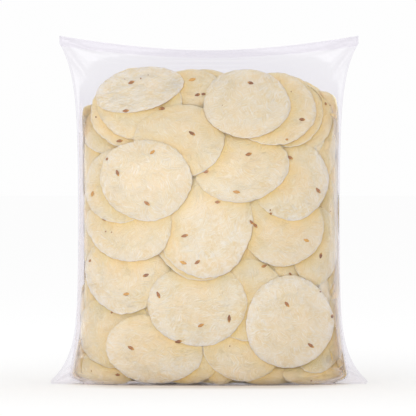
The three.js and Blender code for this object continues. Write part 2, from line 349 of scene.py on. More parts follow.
@dataclass
class HeapFace:
    """One face of the heap: how far in from the film it is taken up by papads."""

    bag: BagShape
    step: float = 1.5
    reach: float = 121.5
    film_gap: float = 0.7
    thickness: float = 0.5
    gap: float = 0.05
    stretch: float = 33.0
    stiffness: tuple[float, ...] = (0.0, 0.02, 0.02, 0.3, 0.3, 0.3)
    passes: int = 12
    hold: float = 30.0
    deepest_hollow: float = 5.0
    evening: int = 2
    rim_spread: float = 0.03
    lip: float = 0.15
    settling: float = 0.96
    settling_power: float = 3.0
    # The painted shade next to the rims of papads in front: its strength, how much stronger it is to the
    # right and below, and how far it reaches in millimetres.
    rim_shadow_share: float = 0.7
    rim_shadow_right: float = 0.15
    rim_shadow_low: float = 0.25
    rim_shadow_reach: float = 7.0
    least_cells: int = 12

    def __post_init__(self) -> None:
        """Starts with nothing behind the film."""
        across = np.arange(-self.reach, self.reach + 0.1, self.step)
        up = np.arange(0.0, self.bag.height + 0.1, self.step)
        self.x, self.z = np.meshgrid(across, up, indexing="ij")
        self.taken, self.open = self.start()
        self.nearest = np.full(self.x.shape, -1)
        self.sheets: list[Sheet] = []
        self.hollows: dict[int, Array] = {}

    def start(self) -> tuple[Array, Array]:
        """Gives the depths just behind the film, and the places that have room for papads."""
        raise NotImplementedError

    def put(self, x: Array, z: Array, depth: Array, margin: float) -> Array:
        """Turns places and depths on the face into points, a margin from the bag's side edges."""
        raise NotImplementedError

    def lay(self, place: PapadPlace, ripple: Ripple, deepest: float | None = None) -> bool:
        """Fits a bent sheet behind all that is in front of it.

        Args:
            place: Where the papad lies.
            ripple: Its unevenness.
            deepest: How deep its inner face may reach, or None for any depth.

        Returns:
            Whether there was room for it.
        """
        u, v = place.local(self.x, self.z)
        cells = (u * u + v * v <= 1.0) & self.open
        if cells.sum() < self.least_cells:
            return False
        x, z = self.x[cells], self.z[cells]
        terms = Sheet.terms((x - place.x) / self.stretch, (z - place.z) / self.stretch)
        own = ripple(u[cells], v[cells])
        wanted = self.taken[cells] - own
        weights = np.ones(len(wanted))
        stiffness = np.diag(self.stiffness) * len(wanted)
        for _ in range(self.passes):
            weighted = terms * weights[:, None]
            factors = np.linalg.solve(terms.T @ weighted + stiffness, weighted.T @ wanted)
            weights = np.where(terms @ factors < wanted, self.hold, 1.0)
        factors[0] += (wanted - terms @ factors).max()
        behind = terms @ factors + own + self.thickness + self.gap
        if deepest is not None and behind.max() > deepest:
            return False
        self.taken[cells] = behind
        self.nearest[cells & (self.nearest < 0)] = len(self.sheets)
        self.sheets.append(Sheet(place, factors, ripple, self.stretch))
        return True

    def settle(self) -> None:
        """Works out, from the deepest papad outwards, how much room each has to sink at its rim."""
        ground = np.full(self.x.shape, np.inf)
        for number in reversed(range(len(self.sheets))):
            depth = self.sheets[number].depth(self.x, self.z)
            room = np.clip(ground - depth - self.lip, 0.0, self.deepest_hollow)
            self.hollows[number] = self.evened(room)
            u, v = self.sheets[number].place.local(self.x, self.z)
            near = np.hypot(u, v) < 1.0 + self.rim_spread
            ground[near] = np.minimum(ground, self.settled(number, self.x, self.z))[near]

    def evened(self, room: Array) -> Array:
        """Softens jumps in the room behind a papad, without ever adding to it.

        Args:
            room: The room at each place of the face.

        Returns:
            The softened room.
        """
        for gather in (np.min, np.mean):
            for axis in (0, 1):
                edges = [(self.evening, self.evening) if axis == one else (0, 0) for one in (0, 1)]
                wide = np.pad(room, edges, mode="edge")
                windows = np.lib.stride_tricks.sliding_window_view(wide, 2 * self.evening + 1, axis=axis)
                room = gather(windows, axis=-1)
        return room

    def room_behind(self, number: int, x: Array, z: Array) -> Array:
        """Reads the room behind a papad between the places of the face.

        Args:
            number: The papad's number on this face.
            x: Places across the face.
            z: Heights.

        Returns:
            The empty depth right behind it, before its rim sinks.
        """
        room = self.hollows[number]
        column = np.clip((x + self.reach) / self.step, 0.0, room.shape[0] - 1.001)
        row = np.clip(z / self.step, 0.0, room.shape[1] - 1.001)
        i, j = column.astype(int), row.astype(int)
        a, b = column - i, row - j
        low = (1 - a) * room[i, j] + a * room[i + 1, j]
        high = (1 - a) * room[i, j + 1] + a * room[i + 1, j + 1]
        return (1 - b) * low + b * high

    def sunk(self, number: int, x: Array, z: Array) -> Array:
        """How much of the room behind it a papad takes up, more towards its rim."""
        u, v = self.sheets[number].place.local(x, z)
        return self.settling * np.minimum(np.hypot(u, v), 1.0) ** self.settling_power

    def settled(self, number: int, x: Array, z: Array) -> Array:
        """The depths of a papad's outer face, its rim settled towards the papads behind it."""
        drop = self.sunk(number, x, z) * self.room_behind(number, x, z)
        return self.sheets[number].depth(x, z) + drop

    def painted_rim_shadow_before(self, number: int, x: Array, z: Array) -> Array:
        """Measures the shade painted on a papad next to the rims of those in front of it.

        Args:
            number: The papad's number on this face.
            x: Places across the face.
            z: Heights.

        Returns:
            The painted shade, 1 where it is covered, and less the farther the next rim is.
        """
        painted_rim_shadow = np.zeros(x.shape)
        for sheet in self.sheets[:number]:
            u, v = sheet.place.local(x, z)
            radius = np.maximum(np.hypot(u, v), 1e-6)
            away = (radius - 1.0) * min(sheet.place.half_width, sheet.place.half_height)
            # Painted shade is stronger to the right of and below the rim in front, away from the upper-left
            # light.
            side = self.rim_shadow_share + (self.rim_shadow_right * u - self.rim_shadow_low * v) / radius
            painted_rim_shadow = np.maximum(painted_rim_shadow, side * np.exp(-np.maximum(away, 0.0) / self.rim_shadow_reach))
        return painted_rim_shadow

    def nearest_at(self, x: float, z: float) -> int:
        """Finds the papad that lies nearest to the film at a place.

        Args:
            x: The place across the face.
            z: The height.

        Returns:
            The papad's number, or -1 where none lies.
        """
        column = round((x + self.reach) / self.step)
        row = min(round(z / self.step), self.nearest.shape[1] - 1)
        return int(self.nearest[column, row])


@dataclass
class BroadFace(HeapFace):
    """The front or the back of the heap, whose depths count from the bag's middle plane."""

    side: Side = Side.FRONT
    least_depth: float = 1.0
    squeeze: float = 3.0
    lean: float = 1.2
    lean_start: float = 45.0

    def start(self) -> tuple[Array, Array]:
        """Gives the depths just behind the film, and the places that have room for papads."""
        film = self.bag.depth(self.x, self.z)
        return self.film_gap - film, film > self.least_depth

    def put(self, x: Array, z: Array, depth: Array, margin: float) -> Array:
        """Turns places and depths from the middle plane into points, crowded at the side edges."""
        return np.stack([self.kept(x, z, margin), -self.side.value * depth, z], axis=-1)

    def kept(self, x: Array, z: Array, margin: float) -> Array:
        """Keeps places inside the side edges, crowding them rather than cutting them off.

        Args:
            x: Places across the face.
            z: Heights.
            margin: How far they stay from the side edges.

        Returns:
            The kept places.
        """
        lean = self.lean * np.where(x > 0, 1.0, 1.0 - 2.0 * np.clip(z / self.lean_start, 0.0, 1.0))
        start = self.bag.fill_width(z) - margin - self.squeeze + lean
        past = np.maximum(np.abs(x) - start, 0.0)
        crowded = start + self.squeeze * (1 - np.exp(-past / self.squeeze))
        return np.sign(x) * np.where(past > 0, crowded, np.abs(x))


@dataclass
class EdgeFace(HeapFace):
    """The narrow left (-1) or right (1) side of the heap, whose depths count from the film."""

    hand: int = 1
    reach: float = 45.0
    round: float = 46.0
    sink: float = 0.014
    inset: float = 1.6
    lean: float = 1.2
    base_sink: float = 5.0
    base_sink_reach: float = 22.0
    least_room: float = 8.0
    least_half_depth: float = 3.0
    near_edge: float = 0.9
    most_turn: float = 1.3

    def start(self) -> tuple[Array, Array]:
        """Says where the first papads may lie: deeper towards the broad faces and the base.

        Returns:
            The depths just behind the film, and the places that have room for papads.
        """
        base = self.base_sink * np.exp(-((self.z / self.base_sink_reach) ** 2))
        inwards = self.inset - self.lean * self.hand + base
        return self.film_gap + inwards + self.sink * self.x**2, self.half_depth(self.z) > self.least_room

    def half_depth(self, z: Array) -> Array:
        """Half the depth of the bag near its side edge.

        Args:
            z: Heights.

        Returns:
            The half depths, never less than a little.
        """
        near = self.near_edge * self.bag.fill_width(z)
        section = self.bag.section(near, z)
        return np.maximum(self.bag.depth(near, z) / section, self.least_half_depth)

    def put(self, x: Array, z: Array, depth: Array, margin: float) -> Array:
        """Turns places on the face into points in the bag, round the side's curve.

        Args:
            x: Places round the side.
            z: Heights.
            depth: Depths from the film.
            margin: Not used.

        Returns:
            The points.
        """
        turn = np.clip(x / self.round, -self.most_turn, self.most_turn)
        width = self.bag.fill_width(z) - depth
        half_depth = np.maximum(self.half_depth(z) - depth, 1.0)
        out = width * np.cos(turn) ** (2 / self.bag.section_power)
        along = half_depth * np.sign(turn) * np.abs(np.sin(turn)) ** (2 * self.bag.section_root)
        return np.stack([self.hand * out, along, z], axis=-1)


@dataclass(frozen=True)
class Template:
    """A small closed mesh that copies are bent from."""

    points: Array
    faces: list[list[int]]

    @classmethod
    def taken_from(cls, shape: bmesh.types.BMesh) -> "Template":
        """Reads a template out of a bmesh, and frees it.

        Args:
            shape: The closed shape.

        Returns:
            The template.
        """
        bmesh.ops.recalc_face_normals(shape, faces=shape.faces)
        shape.verts.index_update()
        points = np.array([corner.co[:] for corner in shape.verts])
        faces = [[corner.index for corner in face.verts] for face in shape.faces]
        shape.free()
        return cls(points, faces)

    @classmethod
    def papad(cls, steps: int, outer: Iterable[float], inner: Iterable[float]) -> "Template":
        """Spins the profile of a flat papad of radius 1 into a closed round.

        Args:
            steps: Sides of the round.
            outer: Radii of the rings on the outer face, from the middle out.
            inner: Radii of the rings on the inner face, from the rim in.

        Returns:
            The template, with 0 on its outer face and 1 on its inner face as third coordinate.
        """
        profile = [*((radius, 0.0) for radius in outer), *RIM_PROFILE, *((radius, 1.0) for radius in inner)]
        shape = bmesh.new()
        corners = [shape.verts.new((radius, 0.0, layer)) for radius, layer in profile]
        edges = [shape.edges.new(pair) for pair in zip(corners, corners[1:])]
        bmesh.ops.spin(
            shape, geom=corners + edges, cent=(0, 0, 0), axis=(0, 0, 1),
            angle=2 * math.pi, steps=steps, use_merge=True,
        )
        bmesh.ops.remove_doubles(shape, verts=shape.verts, dist=1e-5)
        return cls.taken_from(shape)

    @staticmethod
    def turned_inwards(points: Array, template: "Template") -> bool:
        """Finds out whether bending has turned a template inside out.

        Args:
            points: The bent corners.
            template: The template.

        Returns:
            Whether its faces point inwards.
        """
        agreeing = 0.0
        for face in template.faces[::7]:
            corners = face[:3]
            bent, flat = (mesh[corners] - mesh.mean(axis=0) for mesh in (points, template.points))
            signs = (np.sign(np.dot(one, np.cross(two, three))) for one, two, three in (bent, flat))
            agreeing += math.prod(signs)
        return agreeing < 0

    @classmethod
    def seed(cls) -> "Template":
        """Makes a ribbed cumin seed of length 2, along the first axis.

        Returns:
            The template.
        """
        shape = bmesh.new()
        bmesh.ops.create_uvsphere(shape, u_segments=12, v_segments=9, radius=1.0)
        bmesh.ops.rotate(
            shape, verts=shape.verts, cent=(0, 0, 0),
            matrix=Matrix.Rotation(math.pi / 2, 3, "Y"),
        )
        for corner in shape.verts:
            angle = math.atan2(corner.co.z, corner.co.y)
            taper = (1.0 - SEED_TAPER * abs(corner.co.x)) * (1.0 + SEED_RELIEF * math.cos(SEED_RIBS * angle))
            corner.co.y *= taper
            corner.co.z *= taper
        return cls.taken_from(shape)


@dataclass
class JoinedMesh:
    """Many bent copies of small templates, joined into one mesh."""

    name: str
    points: list[Array] = field(default_factory=list)
    faces: list[list[int]] = field(default_factory=list)
    plane: list[Array] = field(default_factory=list)
    values: dict[str, list[Array]] = field(default_factory=dict)
    count: int = 0

    def add(self, points: Array, template: Template, flip: bool, plane: Array, **values: Array) -> None:
        """Adds one bent copy.

        Args:
            points: Its corners, in millimetres.
            template: The template that it is bent from.
            flip: Whether its faces are turned round so that they point outwards.
            plane: Two pattern coordinates for each corner.
            values: Further values for each corner, by name.
        """
        for face in template.faces:
            corners = [self.count + corner for corner in face]
            self.faces.append(corners[::-1] if flip else corners)
        self.points.append(points)
        self.plane.append(plane)
        for name, value in values.items():
            self.values.setdefault(name, []).append(np.broadcast_to(value, len(points)))
        self.count += len(points)

    def build(self) -> bpy.types.Object:
        """Makes the object.

        Returns:
            The object, at the origin, with its pattern map and its values as attributes.
        """
        mesh = bpy.data.meshes.new(self.name)
        mesh.from_pydata((np.concatenate(self.points) * MM).tolist(), [], self.faces)
        corners = np.empty(len(mesh.loops), dtype=np.int32)
        mesh.loops.foreach_get("vertex_index", corners)
        layer = mesh.uv_layers.new(name="plane")
        layer.data.foreach_set("uv", np.concatenate(self.plane)[corners].astype(np.float32).ravel())
        for name, value in self.values.items():
            attribute = mesh.attributes.new(name, "FLOAT", "POINT")
            attribute.data.foreach_set("value", np.concatenate(value).astype(np.float32))
        mesh.shade_smooth()
        mesh.set_sharp_from_angle(angle=FOLD_ANGLE)
        return placed(self.name, mesh)


def placed(name: str, mesh: bpy.types.Mesh) -> bpy.types.Object:
    """Puts a mesh into the scene at the origin.

    Args:
        name: The object's name.
        mesh: The mesh.

    Returns:
        The object.
    """
    piece = bpy.data.objects.new(name, mesh)
    bpy.context.scene.collection.objects.link(piece)
    return piece


def numbered(values: Iterable[object]) -> dict[str, object]:
    """Names values by their place, for the inputs of a node."""
    return {f"_{number}": value for number, value in enumerate(values)}


class Nodes:
    """The node tree of a material, built with few words."""

    def __init__(self, name: str) -> None:
        """Starts an empty tree.

        Args:
            name: The material's name.
        """
        self.material = bpy.data.materials.new(name)
        self.material.use_nodes = True
        self.tree = self.material.node_tree
        self.tree.nodes.clear()

    def add(self, kind: str, settings: dict[str, object] | None = None, **inputs: object) -> bpy.types.Node:
        """Adds a node.

        Args:
            kind: The node's type, without "ShaderNode".
            settings: The node's own properties.
            inputs: Values or sockets by input name, or by number after an underscore.

        Returns:
            The node.
        """
        node = self.tree.nodes.new("ShaderNode" + kind)
        for key, value in (settings or {}).items():
            setattr(node, key, value)
        for key, value in inputs.items():
            name = key.replace("_", " ")
            socket = node.inputs[int(key[1:]) if key[0] == "_" else name]
            if isinstance(value, bpy.types.NodeSocket):
                self.tree.links.new(value, socket)
            else:
                socket.default_value = value
        return node

    def math(self, operation: str, *values: object, clamp: bool = False) -> bpy.types.NodeSocket:
        """Adds a math node on numbers or sockets, and gives its result."""
        return self.add("Math", {"operation": operation, "use_clamp": clamp}, **numbered(values)).outputs[0]

    def vector(self, operation: str, *values: object) -> bpy.types.Node:
        """Adds a vector math node on vectors or sockets."""
        return self.add("VectorMath", {"operation": operation}, **numbered(values))

    def mix(self, share: object, one: object, other: object) -> bpy.types.NodeSocket:
        """Mixes a share of a second colour into the first."""
        return self.add("Mix", {"data_type": "RGBA"}, _0=share, _6=one, _7=other).outputs[2]

    def range(
        self, value: object, low: float, high: float, start: float = 0.0, end: float = 1.0
    ) -> bpy.types.NodeSocket:
        """Maps the range from low to high smoothly onto the one from start to end."""
        settings = {"interpolation_type": "SMOOTHSTEP"}
        return self.add("MapRange", settings, _0=value, _1=low, _2=high, _3=start, _4=end).outputs[0]

    def noise(
        self, vector: object, scale: float, detail: float = 2.0, distortion: float = 0.0
    ) -> bpy.types.Node:
        """Adds a noise texture that is read at a vector."""
        return self.add("TexNoise", None, Vector=vector, Scale=scale, Detail=detail, Distortion=distortion)

    def finish(self, shader: bpy.types.NodeSocket) -> bpy.types.Material:
        """Links a shader as the surface, and gives the material."""
        self.add("OutputMaterial", None, Surface=shader)
        return self.material


def colour(red: int, green: int, blue: int) -> tuple[float, float, float, float]:
    """Turns a colour as seen on a screen into a linear one.

    Args:
        red: Red from 0 to 255.
        green: Green from 0 to 255.
        blue: Blue from 0 to 255.

    Returns:
        The linear colour with an alpha of 1.
    """
    def linear(value: int) -> float:
        share = value / 255
        return share / 12.92 if share <= 0.04045 else ((share + 0.055) / 1.055) ** 2.4

    return linear(red), linear(green), linear(blue), 1.0


@dataclass(frozen=True)
class PapadFinish:
    """Pale dried dough that light passes into, with fine curled fibres, clouds, painted shade by rims in
    front and over room behind, and a paler rim with a painted highlight.
    """

    light: Colour = colour(246, 242, 232)
    middle: Colour = colour(239, 225, 196)
    deep: Colour = colour(231, 210, 166)
    # Golden painted shadow colour, laid next to the rims of papads in front.
    painted_shadow_colour: Colour = colour(236, 204, 134)
    roughness: float = 0.45
    inner_glow: float = 0.8
    glow_reach: float = 0.0013
    glow_radius: tuple[float, ...] = (1.0, 0.95, 0.85)
    patch_scale: float = 1.1
    cloud_scale: float = 0.8
    mottle_scale: float = 3.5
    fibre_density: tuple[float, float] = (13.0, 16.0)
    fibre_turn: float = 1.9
    fibre_share: float = 0.5
    swirl_scale: float = 0.55
    swirl: tuple[float, ...] = (1.7, 1.7, 0.0)
    bump: float = 0.0004

    def build(self) -> bpy.types.Material:
        """Makes the material.

        Returns:
            The material.
        """
        nodes = Nodes("papad_dough")
        plane = nodes.add("UVMap", {"uv_map": "plane"}).outputs[0]
        # Attributes: random tone, a paler rim with a painted highlight, and two painted shades, one over the
        # room behind the papad and one next to the rims of papads in front.
        tone, pale_rim_and_highlight, painted_room_shade, painted_rim_shadow = (
            nodes.add("Attribute", {"attribute_name": name}).outputs["Fac"]
            for name in ("tone", "pale_rim_and_highlight", "painted_room_shade", "painted_rim_shadow")
        )
        patches = nodes.range(nodes.noise(plane, self.patch_scale, 1.0).outputs[0], 0.45, 0.55)
        dense, denser = self.fibre_density
        one = self.fibres(nodes, plane, 0.0, 0.0, dense)
        other = self.fibres(nodes, plane, self.fibre_turn, dense, denser)
        strokes = nodes.add("Mix", {"data_type": "FLOAT"}, _0=patches, _2=one, _3=other).outputs[0]
        cloud = nodes.noise(plane, self.cloud_scale, 2.0).outputs[0]
        mottle = nodes.noise(plane, self.mottle_scale, 4.0, 0.8).outputs[0]
        shade = nodes.mix(nodes.range(cloud, 0.35, 0.62), self.deep, self.middle)
        shade = nodes.mix(nodes.math("MULTIPLY", nodes.range(mottle, 0.4, 0.7), 0.6), shade, self.light)
        # Painted shade: deeper where there is room behind the papad, lighter where another lies right behind
        # it.
        shade = nodes.mix(nodes.range(painted_room_shade, 0.0, 1.0, 0.0, 0.5), shade, self.deep)
        shade = nodes.mix(nodes.math("MULTIPLY", tone, 0.45), shade, self.deep)
        shade = nodes.mix(nodes.math("MULTIPLY", strokes, self.fibre_share), shade, self.light)
        # Paints golden shade next to the rims of papads in front.
        shade = nodes.mix(nodes.math("POWER", painted_rim_shadow, 1.1), shade, self.painted_shadow_colour)
        # Paler rim with a painted highlight, stronger on its lower side.
        shade = nodes.mix(nodes.range(pale_rim_and_highlight, 0.96, 1.0, 0.0, 0.6), shade, self.light)
        height = nodes.math("MULTIPLY_ADD", strokes, self.fibre_share, mottle)
        bump = nodes.add("Bump", None, Height=height, Distance=self.bump, Strength=0.9).outputs[0]
        shader = nodes.add(
            "BsdfPrincipled", {"subsurface_method": "RANDOM_WALK"},
            Base_Color=shade, Roughness=self.roughness, Normal=bump, Subsurface_Weight=self.inner_glow,
            Subsurface_Radius=self.glow_radius, Subsurface_Scale=self.glow_reach,
        )
        return nodes.finish(shader.outputs[0])

    def fibres(
        self, nodes: Nodes, plane: object, turn: float, shift: float, across: float
    ) -> bpy.types.NodeSocket:
        """Makes a layer of fine curved fibres that swirl round each other.

        Args:
            nodes: The node tree.
            plane: Where it is read.
            turn: Which way they lie.
            shift: How far the layer is moved, so that no two are alike.
            across: How many lie side by side in a centimetre.

        Returns:
            The fibres, 1 on each of them.
        """
        placing = {"Location": (shift, shift, 0), "Rotation": (0, 0, turn)}
        moved = nodes.add("Mapping", None, Vector=plane, **placing).outputs[0]
        swirl = nodes.noise(moved, self.swirl_scale, 1.0).outputs["Color"]
        bent = nodes.vector("MULTIPLY_ADD", swirl, self.swirl, moved).outputs[0]
        drawn = nodes.add("Mapping", None, Vector=bent, Scale=(1.5, across, 1.0)).outputs[0]
        return nodes.range(nodes.noise(drawn, 1.0, 1.5, 0.3).outputs[0], 0.46, 0.68)


@dataclass(frozen=True)
class SeedFinish:
    """Brown cumin, with paler ribs."""

    dark: Colour = colour(132, 84, 50)
    brown: Colour = colour(168, 112, 62)
    pale: Colour = colour(216, 164, 84)
    tip: Colour = colour(230, 178, 76)
    roughness: float = 0.55

    def build(self) -> bpy.types.Material:
        """Makes the material.

        Returns:
            The material.
        """
        nodes = Nodes("cumin_brown")
        plane = nodes.add("UVMap", {"uv_map": "plane"}).outputs[0]
        tone = nodes.add("Attribute", {"attribute_name": "tone"}).outputs["Fac"]
        speckle = nodes.noise(plane, 9.0, 3.0).outputs[0]
        end = nodes.add("Attribute", {"attribute_name": "end"}).outputs["Fac"]
        shade = nodes.mix(nodes.range(tone, 0.0, 0.5), self.dark, self.brown)
        shade = nodes.mix(nodes.range(tone, 0.5, 1.0), shade, self.pale)
        shade = nodes.mix(nodes.range(end, 0.1, 0.9, 0.0, 0.8), shade, self.tip)
        shade = nodes.mix(nodes.range(speckle, 0.45, 0.8, 0.0, 0.4), shade, self.pale)
        bump = nodes.add("Bump", None, Height=speckle, Distance=0.0001, Strength=0.6).outputs[0]
        shader = nodes.add("BsdfPrincipled", None, Base_Color=shade, Roughness=self.roughness, Normal=bump)
        return nodes.finish(shader.outputs[0])


@dataclass(frozen=True)
class FilmFinish:
    """Thin clear plastic film: a faint cool veil with gloss, whiter along its ridges as stress-whitening and
    a painted glint.
    """

    name: str = "clear_film"
    through: Colour = (0.937, 0.93, 0.947, 1.0)
    through_steep: Colour = (0.9, 0.888, 0.925, 1.0)
    veil: Colour = colour(234, 229, 235)
    steepness: float = 2.2
    haze: float = 0.02
    haze_steep: float = 0.42
    haze_range: tuple[float, float] = (0.28, 0.68)
    # Whitening along the film's ridges, partly stress-whitened film and partly a painted glint.
    ridge_whitening_and_glint: float = 0.3
    gloss_square: float = 0.014
    gloss_steep: float = 0.5
    gloss_roughness: float = 0.16
    crinkle: float = 0.0005
    wrinkle_scale: tuple[float, ...] = (60.0, 60.0, 22.0)

    def build(self) -> bpy.types.Material:
        """Makes the material.

        Returns:
            The material.
        """
        nodes = Nodes(self.name)
        place = nodes.add("TexCoord").outputs["Object"]
        upright = nodes.add("Mapping", None, Vector=place, Scale=self.wrinkle_scale).outputs[0]
        wrinkle = nodes.noise(upright, 1.0, 2.5, 0.6).outputs[0]
        bump = nodes.add("Bump", None, Height=wrinkle, Distance=self.crinkle, Strength=1.0).outputs[0]
        facing = nodes.add("LayerWeight", None, Blend=0.5, Normal=bump).outputs["Facing"]
        steep = nodes.math("MULTIPLY", facing, self.steepness, clamp=True)
        tint = nodes.mix(steep, self.through, self.through_steep)
        clear = nodes.add("BsdfTransparent", None, Color=tint).outputs[0]
        veil = nodes.add("BsdfDiffuse", None, Color=self.veil, Normal=bump).outputs[0]
        white = {"Color": (1, 1, 1, 1), "Roughness": self.gloss_roughness}
        gloss = nodes.add("BsdfAnisotropic", None, Normal=bump, **white).outputs[0]
        edge_on = nodes.math("POWER", facing, 3.0)
        shine = nodes.math("MULTIPLY_ADD", edge_on, self.gloss_steep, self.gloss_square)
        # Whiter haze along the ridges: stress-whitening and a painted glint.
        ridge = nodes.add("Attribute", {"attribute_name": "ridge"}).outputs["Fac"]
        haze = nodes.range(facing, *self.haze_range, self.haze, self.haze_steep)
        haze = nodes.math("MULTIPLY_ADD", ridge, self.ridge_whitening_and_glint, haze)
        body = nodes.add("MixShader", None, Fac=haze, _1=clear, _2=veil).outputs[0]
        film = nodes.add("MixShader", None, Fac=shine, _1=body, _2=gloss).outputs[0]
        return nodes.finish(film)


@dataclass
class PapadHeap:
    """All the papads in the bag, packed behind the film from all sides inwards.

    Lengths are millimetres and turns degrees. Spreads are drawn between plus and minus their value,
    or between their two values.
    """

    bag: BagShape
    seed: int = 17
    back_count: int = 46
    back_spacing: float = 22.0
    edge_count: int = 12
    fill_tries: int = 900
    radius: float = 33.5
    thickness: float = 0.5
    edge_margin: float = 1.2
    gap_tries: int = 200
    gap_radii: tuple[float, float] = (13.0, 18.0)
    size_spread: tuple[float, float] = (0.92, 1.06)
    most_turn: float = 12.0
    off_floor: float = 0.6
    back_tries: int = 6000
    back_easing: int = 9000
    back_reach: float = 74.0
    back_drop: float = 9.0
    back_least: float = 26.0
    back_below_top: float = 20.0
    edge_ends: float = 30.0
    edge_spread: tuple[float, float] = (9.0, 4.0)
    fill_reach: float = 0.86
    fill_least: float = 5.0
    depth_reached: float = -0.1
    least_height: float = 0.4
    side_clear: float = 5.0
    base_clear: tuple[float, float] = (6.0, 3.0)
    back_heights: tuple[float, float] = (0.8, 0.98)
    edge_heights: tuple[float, float] = (0.8, 0.95)
    edge_widths: tuple[float, float] = (0.75, 0.85)
    fill_heights: tuple[float, float] = (0.84, 1.0)
    margin_spread: tuple[float, float] = (-0.8, 1.2)
    wave_sizes: tuple[float, float] = (0.5, 1.2)
    wave_height: float = 0.8
    # How much less of the paler rim and its painted highlight there is on the upper side, and how far that
    # side turns at random, in radians.
    rim_highlight_top_drop: float = 0.02
    rim_highlight_turn: float = 0.9
    pattern_spread: float = 40.0

    def __post_init__(self) -> None:
        """Packs the heap."""
        self.draw = np.random.default_rng(self.seed)
        self.front = BroadFace(self.bag, side=Side.FRONT, thickness=self.thickness)
        self.back = BroadFace(self.bag, side=Side.BACK, thickness=self.thickness)
        self.edges = [EdgeFace(self.bag, hand=hand, thickness=self.thickness) for hand in (-1, 1)]
        self.lay_all(self.front, FRONT_PLACES)
        self.lay_all(self.back, self.back_places())
        for face in (self.front, self.back):
            self.close_gaps(face)
        for edge in self.edges:
            self.lay_all(edge, self.edge_places())
        self.faces: list[HeapFace] = [self.front, self.back, *self.edges]
        self.shown = [len(face.sheets) for face in self.faces]
        for face in (self.front, self.back):
            self.fill(face)
        for face in self.faces:
            face.settle()

    def lay_all(self, face: HeapFace, places: Iterable[PapadPlace]) -> None:
        """Lays papads on a face, the nearest to the film first.

        Args:
            face: The face.
            places: Where they lie.
        """
        for place in places:
            face.lay(place, self.ripple(place))

    def ripple(self, place: PapadPlace) -> Ripple:
        """Draws the unevenness of a papad."""
        height = self.wave_height * min(place.half_width, place.half_height) / self.radius
        return Ripple.drawn(self.draw, height, place.fold)

    def close_gaps(self, face: BroadFace) -> None:
        """Lays papads close behind the gaps between those that show.

        Args:
            face: The face.
        """
        across = np.abs(face.x) < face.bag.fill_width(face.z) - self.side_clear
        below = face.z < self.bag.heap_top(face.x) - self.back_drop
        heap = face.open & across & below & (face.z > self.base_clear[0])
        for _ in range(self.gap_tries):
            bare = np.argwhere(heap & (face.nearest < 0))
            if len(bare) == 0:
                return
            column, row = bare[self.draw.integers(len(bare))]
            half_width, half_height = self.draw.uniform(*self.gap_radii, 2)
            x = face.x[column, row]
            place = self.kept_place(x, face.z[column, row], half_width, half_height)
            face.lay(place, self.ripple(place))

    def kept_place(self, x: float, z: float, half_width: float, half_height: float) -> PapadPlace:
        """Places a papad as near to a height as the heap's top and the floor allow, with a drawn turn.

        Args:
            x: Its place across the bag.
            z: The height.
            half_width: Half its width.
            half_height: Half its height.

        Returns:
            Its place.
        """
        low, high = half_height + self.off_floor, self.bag.heap_top(x) - self.back_drop - half_height
        turn = self.draw.uniform(-self.most_turn, self.most_turn)
        return PapadPlace(x, min(max(z, low), high), half_width, half_height, turn)

    def back_places(self) -> list[PapadPlace]:
        """Spreads papads evenly over the back.

        Returns:
            Their places, the nearest to the film first.
        """
        places: list[PapadPlace] = []
        for attempt in range(self.back_tries):
            if len(places) == self.back_count:
                break
            x = self.draw.uniform(-self.back_reach, self.back_reach)
            top = self.bag.heap_top(x + math.copysign(0.8 * self.radius, x)) - self.back_drop
            z = self.draw.uniform(self.back_least, top - self.back_below_top)
            spacing = self.back_spacing * (1 - attempt / self.back_easing)
            if any(math.hypot(place.x - x, place.z - z) < spacing for place in places):
                continue
            half_width = self.radius * self.draw.uniform(*self.size_spread)
            half_height = min(half_width * self.draw.uniform(*self.back_heights), z - 0.5, top - z)
            turn = self.draw.uniform(-self.most_turn, self.most_turn)
            places.append(PapadPlace(x, z, half_width, half_height, turn))
        return places

    def edge_places(self) -> list[PapadPlace]:
        """Places papads up a narrow side, in a shuffled order.

        Returns:
            Their places, the nearest to the film first.
        """
        top = self.bag.heap_top(self.bag.body_half_width)
        heights = np.linspace(self.edge_ends, top - self.edge_ends, self.edge_count)
        places = []
        for z in self.draw.permutation(heights):
            half_height = self.radius * self.draw.uniform(*self.edge_heights)
            half_width = half_height * self.draw.uniform(*self.edge_widths)
            x, rise = (self.draw.uniform(-most, most) for most in self.edge_spread)
            places.append(PapadPlace(x, min(z + rise, top - half_height - 2.0), half_width, half_height))
        return places

    def fill(self, face: BroadFace) -> None:
        """Fills a broad face of the heap down to the bag's middle plane.

        Args:
            face: The face.
        """
        below = face.z < self.bag.heap_top(face.x)
        cells = np.argwhere((face.taken < -self.fill_least) & below & (face.z > self.base_clear[1]))
        for _ in range(self.fill_tries):
            column, row = cells[self.draw.integers(len(cells))]
            x = self.fill_reach * face.x[column, row]
            half_width = self.radius * self.draw.uniform(*self.size_spread)
            half_height = half_width * self.draw.uniform(*self.fill_heights)
            place = self.kept_place(x, face.z[column, row], half_width, half_height)
            face.lay(place, self.ripple(place), deepest=self.depth_reached)

    def add_papad(self, joined: JoinedMesh, template: Template, face: HeapFace, number: int) -> None:
        """Bends one papad onto its sheet.

        Args:
            joined: The mesh that it joins.
            template: The flat round.
            face: The face of the heap.
            number: The papad's number on that face.
        """
        sheet = face.sheets[number]
        flat_x, flat_z, layer = template.points.T
        radius, angle = np.hypot(flat_x, flat_z), np.arctan2(flat_z, flat_x)
        uneven = np.zeros_like(angle)
        for lobes, size in RIM_WAVES:
            phase = self.draw.uniform(0, 2 * math.pi)
            uneven += size * self.draw.uniform(*self.wave_sizes) * np.sin(lobes * angle + phase)
        reach = 0.99 + uneven * radius**3
        u, v = flat_x * reach, flat_z * reach
        x, z = sheet.place.spread(u, v)
        z = np.maximum(z, self.least_height)
        outer = face.settled(number, x, z)
